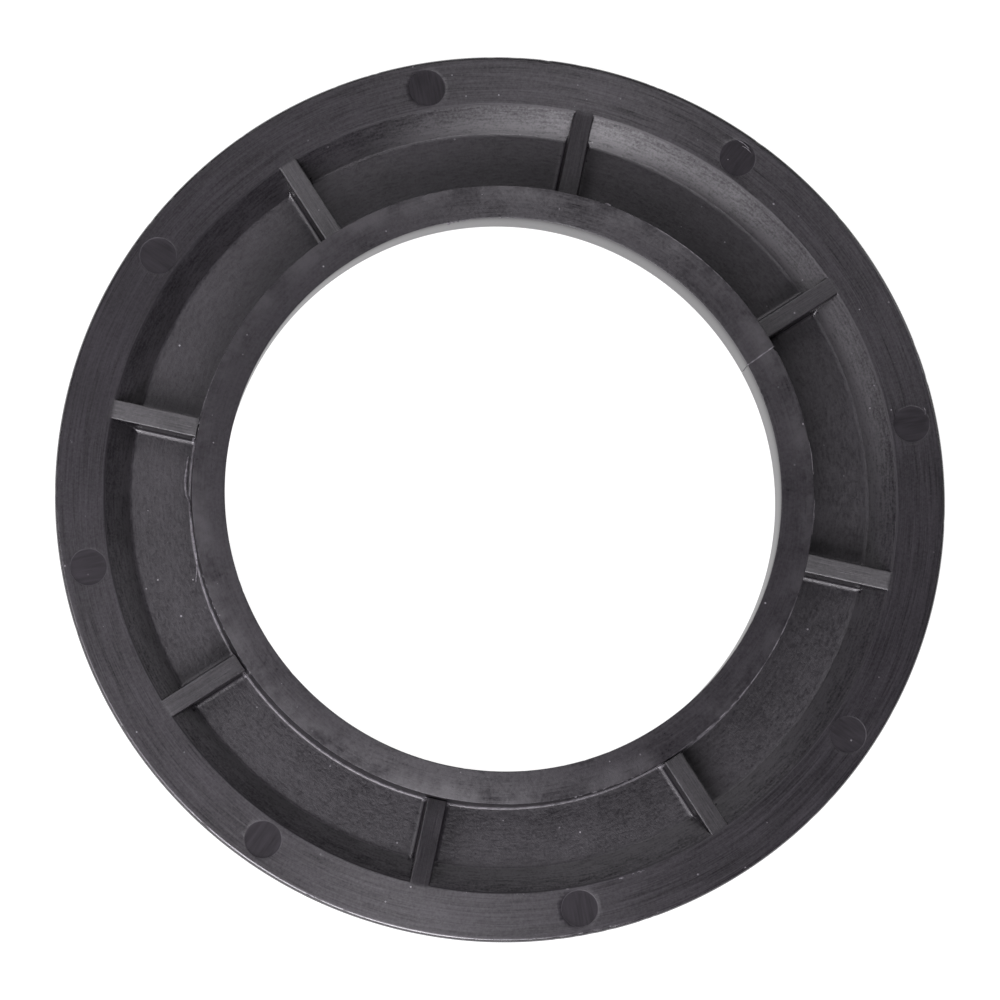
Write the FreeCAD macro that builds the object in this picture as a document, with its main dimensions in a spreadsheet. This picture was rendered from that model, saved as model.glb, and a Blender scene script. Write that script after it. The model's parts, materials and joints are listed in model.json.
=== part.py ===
import FreeCAD, Part
import math
import os
import Sketcher

# Toilet flange: a ribbed, injection-moulded flange ring with a split collar
# ring pressed into its central hole. Millimetres, +Z up. The origin is on the
# bore axis at the smooth rear face, and one of the ribs lies along +X.

SIZES = (
    ("rim_radius", 89.1),
    ("rear_radius", 88.55),
    ("land_radius", 79.4),
    ("floor_radius", 73.9),
    ("seat_radius", 62.0),
    ("bore_radius", 55.5),
    ("floor_height", 1.8),
    ("land_height", 7.2),
    ("collar_height", 10.6),
    ("rim_round", 0.7),
    ("rear_round", 0.4),
    ("land_round", 0.25),
    ("valley_round", 0.5),
    ("lip_thickness", 0.15),
    ("lip_height", 0.5),
    ("lip_round", 0.4),
    ("rib_count", 8),
    ("rib_start", 61.0),
    ("rib_length", 19.6),
    ("rib_width", 3.9),
    ("rib_foot_width", 6.2),
    ("rib_round", 0.3),
    ("rib_fillet", 1.0),
    ("rib_root", 0.4),
    ("rib_end_gap", 0.3),
    ("pin_circle", 83.7),
    ("pin_angle", 22.5),
    ("pin_radius", 3.7),
    ("pin_depth", 0.12),
    ("press_overlap", 0.03),
    ("collar_outer_round", 0.3),
    ("collar_inner_round", 0.25),
    ("joint_centre_x", 58.6),
    ("joint_centre_y", -4.38),
    ("joint_angle", 2.9),
    ("joint_gap", 0.1),
    ("joint_run", 10.0),
)
EDGE_TOLERANCE = 1e-4
RIB_DRAFT = 0.03  # a first guess in radians; the sketch's tangents settle it
UP = FreeCAD.Vector(0, 0, 1)

os.makedirs("parts", exist_ok=True)
doc = FreeCAD.newDocument("toilet_flange")
sheet = doc.addObject("Spreadsheet::Sheet", "Sizes")
for row, (alias, number) in enumerate(SIZES, start=1):
    sheet.set("A%d" % row, alias)
    sheet.set("B%d" % row, "%g" % number)
    sheet.setAlias("B%d" % row, alias)
doc.recompute()


def number_of(alias):
    """One sheet cell as a number."""
    return float(sheet.get(alias))


def total(*names):
    """Sum of sheet cells as a number and as an expression; a leading minus subtracts."""
    value = 0.0
    terms = []
    for name in names:
        alias = name.lstrip("-")
        if name.startswith("-"):
            value -= number_of(alias)
            terms.append("- Sizes." + alias)
        else:
            value += number_of(alias)
            terms.append("+ Sizes." + alias)
    return value, " ".join(terms).lstrip("+ ")


def point(x, y):
    """A point of a sketch's plane."""
    return FreeCAD.Vector(x, y, 0)


def arc(x, y, radius, first, last):
    """An arc about (x, y) from one angle to another, in radians."""
    return Part.ArcOfCircle(Part.Circle(point(x, y), UP, radius), first, last)


def origin_feature(body, role):
    """The body's own origin plane or axis with this role."""
    for feature in body.Origin.OriginFeatures:
        if feature.Role == role:
            return feature
    raise RuntimeError("no origin feature " + role)


def new_sketch(body, name, role, lift=None):
    """A sketch on one of the body's origin planes, lifted along the plane's normal."""
    sketch = body.newObject("Sketcher::SketchObject", name)
    sketch.AttachmentSupport = (origin_feature(body, role), [""])
    sketch.MapMode = "FlatFace"
    if lift:
        sketch.setExpression(".AttachmentOffset.Base.z", total(*lift)[1])
    return sketch


def bind(sketch, kind, geometry, size, name):
    """A dimensional constraint driven by sheet cells. size is (value, expression)."""
    value, expression = size
    index = sketch.addConstraint(Sketcher.Constraint(kind, *geometry, abs(value)))
    sketch.renameConstraint(index, name)
    sketch.setExpression("Constraints." + name, expression)


def profile(sketch, corners):
    """A closed polygon. Each corner is (x cells, y cells); no cells means on the axis."""
    points = []
    for across, up in corners:
        x_value = total(*across)[0] if across else 0.0
        y_value = total(*up)[0] if up else 0.0
        points.append(point(x_value, y_value))
    count = len(points)
    for i in range(count):
        sketch.addGeometry(Part.LineSegment(points[i], points[(i + 1) % count]), False)
    for i in range(count):
        sketch.addConstraint(Sketcher.Constraint("Coincident", i, 2, (i + 1) % count, 1))
    for i, (across, up) in enumerate(corners):
        if across:
            bind(sketch, "DistanceX", (-1, 1, i, 1), total(*across), "across_%d" % i)
        else:
            sketch.addConstraint(Sketcher.Constraint("PointOnObject", i, 1, -2))
        if up:
            bind(sketch, "DistanceY", (-1, 1, i, 1), total(*up), "up_%d" % i)
        else:
            sketch.addConstraint(Sketcher.Constraint("PointOnObject", i, 1, -1))


def revolve(body, name, sketch):
    """The sketch turned a full circle about the sketch's vertical axis."""
    feature = body.newObject("PartDesign::Revolution", name)
    feature.Profile = sketch
    feature.ReferenceAxis = (sketch, ["V_Axis"])
    feature.Angle = 360.0
    doc.recompute()
    return feature


def ring_edges(feature, radius, height):
    """Names of the feature's circular edges with this radius and height."""
    names = []
    for number, edge in enumerate(feature.Shape.Edges, start=1):
        curve = edge.Curve
        if not isinstance(curve, Part.Circle):
            continue
        off_radius = abs(curve.Radius - radius)
        off_height = abs(curve.Center.z - height)
        if max(off_radius, off_height) < EDGE_TOLERANCE:
            names.append("Edge%d" % number)
    return names


def round_ring(body, name, base, radius, height, alias):
    """A fillet on the circular edge with this radius and height."""
    names = ring_edges(base, radius, height)
    if len(names) != 1:
        raise RuntimeError("%s found %d edges" % (name, len(names)))
    feature = body.newObject("PartDesign::Fillet", name)
    feature.Base = (base, names)
    feature.setExpression("Radius", "Sizes." + alias)
    doc.recompute()
    return feature


def around_axis(body, name, original, count):
    """Copies of one feature spaced evenly around the bore axis."""
    feature = body.newObject("PartDesign::PolarPattern", name)
    feature.Originals = [original]
    feature.Axis = (origin_feature(body, "Z_Axis"), [""])
    feature.Angle = 360.0
    feature.setExpression("Occurrences", "Sizes." + count)
    body.Tip = feature
    doc.recompute()
    return feature


def circle_sketch(body, name, radius, lift=None):
    """A circle about the bore axis, on the XY plane or lifted above it."""
    sketch = new_sketch(body, name, "XY_Plane", lift)
    size = total(*radius)
    sketch.addGeometry(Part.Circle(point(0, 0), UP, size[0]), False)
    sketch.addConstraint(Sketcher.Constraint("Coincident", 0, 3, -1, 1))
    bind(sketch, "Radius", (0,), size, "circle_radius")
    return sketch


def cut(body, name, sketch, upward, depth=None):
    """A pocket; it must take material away. No depth means through all."""
    before = body.Shape.Volume
    feature = body.newObject("PartDesign::Pocket", name)
    feature.Profile = sketch
    feature.Reversed = upward
    if depth:
        feature.Type = "Length"
        feature.setExpression("Length", "Sizes." + depth)
    else:
        feature.Type = "ThroughAll"
    doc.recompute()
    if not feature.Shape.Volume < before:
        raise RuntimeError(name + " cut nothing")
    return feature


# --- Flange ring: flat land round the rim, a sloped wall down to a thin floor,
# --- and a low lip round the hole that the collar sits in.
flange = doc.addObject("PartDesign::Body", "flange_ring")
flange.Label = "flange_ring"

section = new_sketch(flange, "RingSection", "XZ_Plane")
profile(
    section,
    (
        (("seat_radius",), ()),
        (("rear_radius",), ()),
        (("rim_radius",), ("land_height",)),
        (("land_radius",), ("land_height",)),
        (("floor_radius",), ("floor_height",)),
        (("seat_radius", "lip_thickness"), ("floor_height",)),
        (("seat_radius", "lip_thickness"), ("floor_height", "lip_height")),
        (("seat_radius",), ("floor_height", "lip_height")),
    ),
)
ring = revolve(flange, "Ring", section)

land_height = number_of("land_height")
floor_height = number_of("floor_height")
rim_radius = number_of("rim_radius")
lip_radius = number_of("seat_radius") + number_of("lip_thickness")
ring = round_ring(flange, "RimRound", ring, rim_radius, land_height, "rim_round")
ring = round_ring(flange, "RearRound", ring, number_of("rear_radius"), 0.0, "rear_round")
ring = round_ring(
    flange, "LandRound", ring, number_of("land_radius"), land_height, "land_round"
)
ring = round_ring(
    flange, "ValleyRound", ring, number_of("floor_radius"), floor_height, "valley_round"
)
ring = round_ring(flange, "LipRound", ring, lip_radius, floor_height, "lip_round")

# Rib section: rounded top edges level with the land, drafted sides, and wide
# fillets where the rib stands on the floor. The root is buried in the floor.
rib_section = new_sketch(flange, "RibSection", "YZ_Plane", ("rib_start",))
top_round = number_of("rib_round")
foot_round = number_of("rib_fillet")
half_top = number_of("rib_width") / 2 - top_round
half_foot = number_of("rib_foot_width") / 2
root_height = floor_height - number_of("rib_root")
side_top = land_height - top_round
side_foot = floor_height + foot_round
top_edge = half_top + top_round
foot_edge = half_foot - foot_round
quarter = math.pi / 2
rib_section.addGeometry(
    [
        Part.LineSegment(point(-half_top, land_height), point(half_top, land_height)),
        arc(half_top, side_top, top_round, RIB_DRAFT, quarter),
        Part.LineSegment(point(top_edge, side_top), point(foot_edge, side_foot)),
        arc(half_foot, side_foot, foot_round, math.pi + RIB_DRAFT, 3 * quarter),
        Part.LineSegment(point(half_foot, floor_height), point(half_foot, root_height)),
        Part.LineSegment(point(half_foot, root_height), point(-half_foot, root_height)),
        Part.LineSegment(point(-half_foot, root_height), point(-half_foot, floor_height)),
        arc(-half_foot, side_foot, foot_round, -quarter, -RIB_DRAFT),
        Part.LineSegment(point(-foot_edge, side_foot), point(-top_edge, side_top)),
        arc(-half_top, side_top, top_round, quarter, math.pi - RIB_DRAFT),
    ],
    False,
)
joins = (
    ("Tangent", 0, 2, 1, 2),
    ("Tangent", 1, 1, 2, 1),
    ("Tangent", 2, 2, 3, 1),
    ("Coincident", 3, 2, 4, 1),
    ("Coincident", 4, 2, 5, 1),
    ("Coincident", 5, 2, 6, 1),
    ("Coincident", 6, 2, 7, 1),
    ("Tangent", 7, 2, 8, 1),
    ("Tangent", 8, 2, 9, 2),
    ("Tangent", 9, 1, 0, 1),
    ("Vertical", 4),
    ("Vertical", 6),
    ("Horizontal", 5),
    ("Vertical", 3, 3, 3, 2),
    ("Vertical", 7, 3, 7, 1),
    ("Symmetric", 0, 1, 0, 2, -2),
    ("Symmetric", 7, 1, 3, 2, -2),
    ("Equal", 1, 9),
    ("Equal", 3, 7),
)
for join in joins:
    rib_section.addConstraint(Sketcher.Constraint(*join))
bind(rib_section, "Radius", (1,), total("rib_round"), "top_round")
bind(rib_section, "Radius", (3,), total("rib_fillet"), "foot_round")
bind(rib_section, "DistanceY", (-1, 1, 0, 1), total("land_height"), "top_height")
bind(rib_section, "DistanceY", (-1, 1, 3, 2), total("floor_height"), "foot_height")
bind(rib_section, "DistanceY", (-1, 1, 5, 1), total("floor_height", "-rib_root"), "root")
bind(
    rib_section,
    "DistanceX",
    (0, 1, 0, 2),
    total("rib_width", "-rib_round", "-rib_round"),
    "top_width",
)
bind(rib_section, "DistanceX", (7, 1, 3, 2), total("rib_foot_width"), "foot_width")

rib = flange.newObject("PartDesign::Pad", "Rib")
rib.Profile = rib_section
rib.setExpression("Length", "Sizes.rib_length")
doc.recompute()
around_axis(flange, "Ribs", rib, "rib_count")

# The ribs are trimmed to the seat hole, and above the lip they stop a little
# short of the collar.
seat_circle = circle_sketch(flange, "SeatCircle", ("seat_radius",))
cut(flange, "SeatHole", seat_circle, True)
end_circle = circle_sketch(
    flange, "RibEndCircle", ("seat_radius", "rib_end_gap"), ("floor_height", "lip_height")
)
cut(flange, "RibEnds", end_circle, True)

# Ejector pin marks: shallow round dents in the land, halfway between the ribs.
pin_sketch = new_sketch(flange, "PinCircle", "XY_Plane", ("land_height",))
pin_x = "Sizes.pin_circle * cos(Sizes.pin_angle * 1 deg)"
pin_y = "Sizes.pin_circle * sin(Sizes.pin_angle * 1 deg)"
pin_turn = FreeCAD.Rotation(UP, number_of("pin_angle"))
pin_centre = pin_turn.multVec(point(number_of("pin_circle"), 0))
pin_sketch.addGeometry(Part.Circle(pin_centre, UP, number_of("pin_radius")), False)
bind(pin_sketch, "DistanceX", (-1, 1, 0, 3), (pin_centre.x, pin_x), "pin_across")
bind(pin_sketch, "DistanceY", (-1, 1, 0, 3), (pin_centre.y, pin_y), "pin_up")
bind(pin_sketch, "Radius", (0,), total("pin_radius"), "pin_radius")
pin_mark = cut(flange, "PinMark", pin_sketch, False, "pin_depth")
around_axis(flange, "PinMarks", pin_mark, "rib_count")

# --- Collar ring: a plain band that lines the bore and stands above the land.
collar = doc.addObject("PartDesign::Body", "collar_ring")
collar.Label = "collar_ring"

band = new_sketch(collar, "BandSection", "XZ_Plane")
profile(
    band,
    (
        (("bore_radius",), ()),
        (("seat_radius", "press_overlap"), ()),
        (("seat_radius", "press_overlap"), ("collar_height",)),
        (("bore_radius",), ("collar_height",)),
    ),
)
collar_ring = revolve(collar, "Band", band)
collar_height = number_of("collar_height")
collar_radius = number_of("seat_radius") + number_of("press_overlap")
bore_radius = number_of("bore_radius")
collar_ring = round_ring(
    collar, "OuterRound", collar_ring, collar_radius, collar_height, "collar_outer_round"
)
collar_ring = round_ring(
    collar, "InnerRound", collar_ring, bore_radius, collar_height, "collar_inner_round"
)
collar_ring = round_ring(
    collar, "RearInnerRound", collar_ring, bore_radius, 0.0, "collar_inner_round"
)

# The butt joint: a fine cut right across the band, close beside the rib on +X.
slit = new_sketch(collar, "JointSlit", "XY_Plane")
slit.setExpression(".AttachmentOffset.Base.x", "Sizes.joint_centre_x")
slit.setExpression(".AttachmentOffset.Base.y", "Sizes.joint_centre_y")
slit.setExpression(".AttachmentOffset.Rotation.Angle", "Sizes.joint_angle")
run = number_of("joint_run") / 2
gap = number_of("joint_gap") / 2
slit_corners = (point(-run, -gap), point(run, -gap), point(run, gap), point(-run, gap))
for i in range(4):
    slit.addGeometry(Part.LineSegment(slit_corners[i], slit_corners[(i + 1) % 4]), False)
for i in range(4):
    slit.addConstraint(Sketcher.Constraint("Coincident", i, 2, (i + 1) % 4, 1))
for side in (0, 2):
    slit.addConstraint(Sketcher.Constraint("Horizontal", side))
for side in (1, 3):
    slit.addConstraint(Sketcher.Constraint("Vertical", side))
slit.addConstraint(Sketcher.Constraint("Symmetric", 0, 1, 2, 1, -1, 1))
bind(slit, "DistanceX", (0, 1, 0, 2), total("joint_run"), "slit_length")
bind(slit, "DistanceY", (1, 1, 1, 2), total("joint_gap"), "slit_width")
cut(collar, "Joint", slit, True)

# --- Checks and files.
doc.recompute()
for item in doc.Objects:
    if "Invalid" in item.State or "Error" in item.State:
        raise RuntimeError(item.Name + " failed")
for body in (flange, collar):
    if body.Shape.isNull() or not body.Shape.isValid():
        raise RuntimeError(body.Label + " has no valid shape")
for body in (flange, collar):
    body.Shape.exportStep("parts/" + body.Label + ".step")
    print(body.Label, len(body.Shape.Solids), round(body.Shape.Volume, 1))
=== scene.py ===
import json
import math
import random

import bmesh
import bpy
from mathutils import Matrix, Vector


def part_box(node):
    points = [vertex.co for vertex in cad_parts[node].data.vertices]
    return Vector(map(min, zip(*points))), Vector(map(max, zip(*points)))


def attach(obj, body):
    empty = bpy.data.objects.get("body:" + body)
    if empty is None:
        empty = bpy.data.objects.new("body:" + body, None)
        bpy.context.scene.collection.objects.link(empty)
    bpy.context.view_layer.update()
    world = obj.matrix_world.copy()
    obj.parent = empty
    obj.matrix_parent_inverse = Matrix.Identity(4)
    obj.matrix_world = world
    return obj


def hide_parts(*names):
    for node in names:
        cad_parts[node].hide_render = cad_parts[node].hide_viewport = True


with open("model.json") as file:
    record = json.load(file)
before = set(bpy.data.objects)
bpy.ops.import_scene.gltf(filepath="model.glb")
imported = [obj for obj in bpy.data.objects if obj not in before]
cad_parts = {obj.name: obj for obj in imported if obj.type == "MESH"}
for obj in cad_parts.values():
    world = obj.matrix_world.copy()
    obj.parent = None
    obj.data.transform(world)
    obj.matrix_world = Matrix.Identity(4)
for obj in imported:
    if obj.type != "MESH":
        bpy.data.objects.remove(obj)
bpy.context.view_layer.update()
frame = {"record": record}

# ---------------------------------------------------------------- sizes
# All sizes below are in millimetres; MM turns them into Blender's metres.
MM = 0.001

MOUNTS = {mount["name"]: mount for mount in frame["record"]["mounts"]}
COLLAR_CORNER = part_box("collar_ring")[1] / MM

COLLAR_TOP = COLLAR_CORNER.z
COLLAR_RADIUS = COLLAR_CORNER.x
BORE_RADIUS = MOUNTS["pipe_bore"]["dims"]["r_mm"]
LAND_TOP = MOUNTS["land_face"]["pos_m"][2] / MM

SEAT_RADIUS = 62.0
LAND_INNER = 79.4  # where the flat rim land ends and the sloped wall begins
FLOOR_OUTER = 73.9  # where the sloped wall meets the floor of the trough
FLOOR_TOP = 1.8
LIP_THICKNESS, LIP_HEIGHT, LIP_ROUND = 0.15, 0.5, 0.4  # the low lip round the seat
VALLEY_BLEND, LAND_BLEND = 0.3, 0.1  # softness of the sloped wall's two edges

# The rim leans outwards from its rear corner to its front corner.
RIM_CORNER, REAR_CORNER = 89.1, 88.55
RIM_ROUND, REAR_ROUND = 0.85, 0.4
RIM_NICKS = {"seed": 11, "count": 46, "width": 1.1, "depth": 0.16}
RIM_NICK_FADE = 6  # a higher power fades the rim's nicks sooner below its corner

RIB_COUNT = 8
SECTOR = 2 * math.pi / RIB_COUNT
RIB_HALF_WIDTH, RIB_HALF_FOOT = 1.95, 3.1
RIB_ROUND, RIB_FILLET, RIB_BLEND = 0.3, 1.0, 0.35
RIB_BLEND_RISE, RIB_BLEND_END = 0.5, 0.8  # it grows above the floor, and ends below the land
RIB_START = SEAT_RADIUS + 0.3
RIB_ZONE = 5.4  # the mesh's lines run along the rib this far out from its middle
FREE_COLUMNS = 74

PIN_CIRCLE = 83.7
PIN_RADIUS, PIN_DEPTH = 3.7, 0.12
PIN_SEGMENTS = 96
PIN_CLEARING = 0.3  # the land's mesh is opened this far beyond a pin mark
PIN_SLANT = 0.02  # how far a pin mark's floor may lie askew at its edge
# Circles of a pin mark, from its edge to its middle: (radius, depth).
PIN_STEPS = ((3.74, 0.0), (3.70, 0.02), (3.68, 0.10), (3.62, 0.12), (2.8, 0.12), (1.4, 0.12))

# The split in the collar runs almost along a radius.
JOINT_CENTRE = (58.6, -4.38)
JOINT_ANGLE = math.radians(2.9)
JOINT_GAP = 0.1
COLLAR_OUTER_ROUND, COLLAR_INNER_ROUND = 0.12, 0.25
COLLAR_COLUMNS = 900
CORNER_LENGTH, CORNER_DEPTH, CORNER_WIDTH = 1.3, 0.5, 1.0  # lost at the split's outer edge
OUTER_NICKS = {"seed": 23, "count": 70, "width": 0.9, "depth": 0.10}
BORE_NICKS = {"seed": 29, "count": 34, "width": 0.8, "depth": 0.08}
NICK_DROP, NICK_REACH = 0.5, 0.4  # how far nicks go down and in from the collar's edges

SHARP_ANGLE = math.radians(34)  # edges sharper than this stay crisp

# A loose hair of flash beside the collar: (radius, angle in degrees, height).
SLIVER_ROUTE = (
    (63.0, 139.8, 2.4), (63.1, 143.6, 2.4), (63.0, 146.2, 2.8), (62.3, 148.7, 4.6),
    (62.3, 151.4, 6.6), (62.3, 154.2, 7.4), (62.3, 157.5, 7.6), (62.35, 159.3, 7.4),
    (62.6, 160.8, 5.6), (63.4, 163.2, 2.5),
)

# ---------------------------------------------------------------- view
# The camera looks down on the ribbed face, a little off the bore's axis.
# View directions are given with x to the picture's right and y up it, and
# VIEW_TURN is the azimuth of the picture's right-hand side.
VIEW_TURN = math.radians(-33)
VIEW_AXIS = Vector((-0.0794, -0.1308, 0.988)).normalized()
VIEW_DISTANCE = 1.2157
LENS, SENSOR = 219.6, 36.0
FRAMING = Vector((-0.56, -0.98)) * MM  # how far the aim lies off the ring's centre


def from_view(direction):
    """Turns a direction from the picture's axes into the object's."""
    return Matrix.Rotation(VIEW_TURN, 3, "Z") @ Vector(direction)


def make_camera():
    """The camera at the viewing angle, aimed at the middle of the land."""
    back = from_view(VIEW_AXIS)
    right = from_view((0, 1, 0)).cross(back).normalized()
    up = back.cross(right)
    ring_centre = Vector((0, 0, LAND_TOP * MM))
    place = ring_centre + back * VIEW_DISTANCE + right * FRAMING.x + up * FRAMING.y
    camera = bpy.data.objects.new("camera", bpy.data.cameras.new("camera"))
    camera.data.lens = LENS
    camera.data.sensor_width = SENSOR
    camera.data.clip_start, camera.data.clip_end = 0.05, 10
    turn = Matrix((right, up, back)).transposed().to_4x4()
    camera.matrix_world = Matrix.Translation(place) @ turn
    bpy.context.scene.collection.objects.link(camera)
    bpy.context.scene.camera = camera


# ---------------------------------------------------------------- shapes
def arc(centre, radius, first, last, count):
    """Section points along an arc, its angles in degrees."""
    points = []
    for i in range(count + 1):
        turn = math.radians(first + (last - first) * i / count)
        points.append((centre[0] + radius * math.cos(turn), centre[1] + radius * math.sin(turn)))
    return points


def spread(first, last, count):
    """count evenly spaced numbers after first, ending at last."""
    return [first + (last - first) * (i + 1) / count for i in range(count)]


def smooth_max(a, b, reach):
    """The larger of two heights, with a fillet where they meet."""
    if reach < 1e-6:
        return max(a, b)
    lift = max(reach - abs(a - b), 0.0)
    return max(a, b) + lift * lift / (4 * reach)


def ring_height(radius):
    """Height of the ring's ribbed side without its ribs."""
    lip = SEAT_RADIUS + LIP_THICKNESS
    if radius <= lip:
        return FLOOR_TOP + LIP_HEIGHT
    if radius < lip + LIP_ROUND:
        drop = math.sqrt(LIP_ROUND ** 2 - (lip + LIP_ROUND - radius) ** 2)
        return FLOOR_TOP + LIP_ROUND - drop
    slope = (LAND_TOP - FLOOR_TOP) / (LAND_INNER - FLOOR_OUTER)
    wall = smooth_max(FLOOR_TOP, FLOOR_TOP + (radius - FLOOR_OUTER) * slope, VALLEY_BLEND)
    return -smooth_max(-wall, -LAND_TOP, LAND_BLEND)


def rib_height(across):
    """Height of a rib's section at a distance from its middle line."""
    off = abs(across)
    shoulder = RIB_HALF_WIDTH - RIB_ROUND
    side_foot = RIB_HALF_FOOT - RIB_FILLET
    if off <= shoulder:
        return LAND_TOP
    if off <= RIB_HALF_WIDTH:
        rise = math.sqrt(max(RIB_ROUND ** 2 - (off - shoulder) ** 2, 0.0))
        return LAND_TOP - RIB_ROUND + rise
    if off <= side_foot:
        share = (off - RIB_HALF_WIDTH) / (side_foot - RIB_HALF_WIDTH)
        top = LAND_TOP - RIB_ROUND
        return top + share * (FLOOR_TOP + RIB_FILLET - top)
    if off < RIB_HALF_FOOT:
        rise = math.sqrt(max(RIB_FILLET ** 2 - (RIB_HALF_FOOT - off) ** 2, 0.0))
        return FLOOR_TOP + RIB_FILLET - rise
    return 0.0


def top_height(radius, across):
    """Height of the ribbed side, ribs joined on, across mm from a rib's middle."""
    ring = ring_height(radius)
    if radius <= RIB_START:
        return ring
    rib = rib_height(across)
    on_wall = min(max(ring - FLOOR_TOP, 0.0) / RIB_BLEND_RISE, 1.0)
    below_top = min((LAND_TOP - max(ring, rib)) / RIB_BLEND_END, 1.0)
    return smooth_max(ring, rib, RIB_BLEND * on_wall * below_top)


def rib_columns():
    """Distances from a rib's middle at which the mesh has lines along the rib."""
    shoulder = RIB_HALF_WIDTH - RIB_ROUND
    side_foot = RIB_HALF_FOOT - RIB_FILLET
    offs = [0.0] + spread(0.0, shoulder, 3)
    offs += [shoulder + RIB_ROUND * math.sin(turn) for turn in spread(0, math.pi / 2, 5)]
    offs += spread(RIB_HALF_WIDTH, side_foot, 6)
    turns = spread(0, math.pi / 2, 6)
    offs += [RIB_HALF_FOOT - RIB_FILLET * math.cos(turn) for turn in turns]
    offs += spread(RIB_HALF_FOOT, RIB_ZONE, 3)
    return [-off for off in reversed(offs[1:])] + offs


def sector_columns():
    """One sector's columns: ("rib", offset) near its rib, ("free", share) between ribs."""
    columns = [("rib", off) for off in rib_columns()]
    columns += [("free", i / FREE_COLUMNS) for i in range(1, FREE_COLUMNS)]
    return columns


def place_on_ring(radius, sector, column):
    """(x, y, distance across from the rib) of a column at a radius."""
    kind, value = column
    if kind == "rib":
        turn = math.asin(value / radius)
        across = value
    else:
        edge = math.asin(RIB_ZONE / radius)
        turn = edge + (SECTOR - 2 * edge) * value
        across = 2 * RIB_ZONE
    turn += sector * SECTOR
    return radius * math.cos(turn), radius * math.sin(turn), across


def nicks(seed, count, width, depth):
    """Small random dents along an edge, as a function of the angle round the ring."""
    dice = random.Random(seed)
    dents = []
    for _ in range(count):
        dents.append((dice.uniform(-math.pi, math.pi),
                      dice.uniform(0.4, 1.0) * width,
                      dice.uniform(0.3, 1.0) * depth))

    def dent(turn, radius):
        deepest = 0.0
        for middle, reach, low in dents:
            gap = (turn - middle + math.pi) % (2 * math.pi) - math.pi
            share = 1 - (gap * radius / reach) ** 2
            if share > 0:
                deepest = max(deepest, low * share)
        return deepest

    return dent


def flange_rings():
    """The ring's section, once round, as (radius, height, side).

    side is "top" where the ribs join on, and "rim" where the front corner is worn. The mesh's
    lines lie close together where the section bends.
    """
    lip = SEAT_RADIUS + LIP_THICKNESS
    radii = [SEAT_RADIUS, lip - 0.02, lip]
    radii += [lip + LIP_ROUND * share for share in (0.005, 0.05, 0.16, 0.36)]
    radii += [RIB_START, RIB_START + 0.005]
    radii += [lip + LIP_ROUND * share for share in (0.6, 0.8, 1.0)]
    radii += [63.1] + spread(63.1, FLOOR_OUTER - 1.2, 7)
    radii += spread(FLOOR_OUTER - 1.2, FLOOR_OUTER + 1.2, 10)
    radii += spread(FLOOR_OUTER + 1.2, LAND_INNER - 0.5, 8)
    radii += spread(LAND_INNER - 0.5, LAND_INNER + 0.25, 9)

    tilt = math.atan((RIM_CORNER - REAR_CORNER) / LAND_TOP)
    lean = 1 / math.cos(tilt)

    def side_at(height):
        return REAR_CORNER + height * math.tan(tilt)

    rim_middle = (side_at(LAND_TOP - RIM_ROUND) - RIM_ROUND * lean, LAND_TOP - RIM_ROUND)
    rear_middle = (side_at(REAR_ROUND) - REAR_ROUND * lean, REAR_ROUND)
    radii += spread(LAND_INNER + 0.25, rim_middle[0] - 0.05, 10)

    points = [(radius, ring_height(radius), "top") for radius in radii]
    degrees = math.degrees(tilt)
    points += [(r, z, "rim") for r, z in arc(rim_middle, RIM_ROUND, 90, -degrees, 9)]
    side_start, side_end = points[-1][1], rear_middle[1] - REAR_ROUND * math.sin(tilt)
    points += [(side_at(z), z, "side") for z in spread(side_start, side_end, 4)[:-1]]
    points += [(r, z, "side") for r, z in arc(rear_middle, REAR_ROUND, -degrees, -90, 5)]
    points += [(r, 0.0, "rear") for r in spread(rear_middle[0], SEAT_RADIUS, 8)]
    points += [(SEAT_RADIUS, z, "seat") for z in (0.8, 1.6)]
    return points


def flange_moulding():
    """The flange ring as one closed mesh, its edges worn and its pin marks sunk."""
    rings = flange_rings()
    columns = [(k, column) for k in range(RIB_COUNT) for column in sector_columns()]
    rim_dent = nicks(**RIM_NICKS)
    mesh = bmesh.new()
    grid = []
    for radius, height, side in rings:
        line = []
        for sector, column in columns:
            x, y, across = place_on_ring(radius, sector, column)
            z = top_height(radius, across) if side == "top" else height
            if side == "rim":
                fade = (height / LAND_TOP) ** RIM_NICK_FADE
                dent = rim_dent(math.atan2(y, x), radius) * fade
                x, y, z = x * (1 - dent / radius), y * (1 - dent / radius), z - dent * 0.5
            line.append(mesh.verts.new((x * MM, y * MM, z * MM)))
        grid.append(line)
    for i, line in enumerate(grid):
        following = grid[(i + 1) % len(grid)]
        for j in range(len(line)):
            after = (j + 1) % len(line)
            mesh.faces.new((line[j], following[j], following[after], line[after]))
    for k in range(RIB_COUNT):
        sink_pin_mark(mesh, k)
    return finish_mesh("flange_moulding", mesh)


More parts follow.
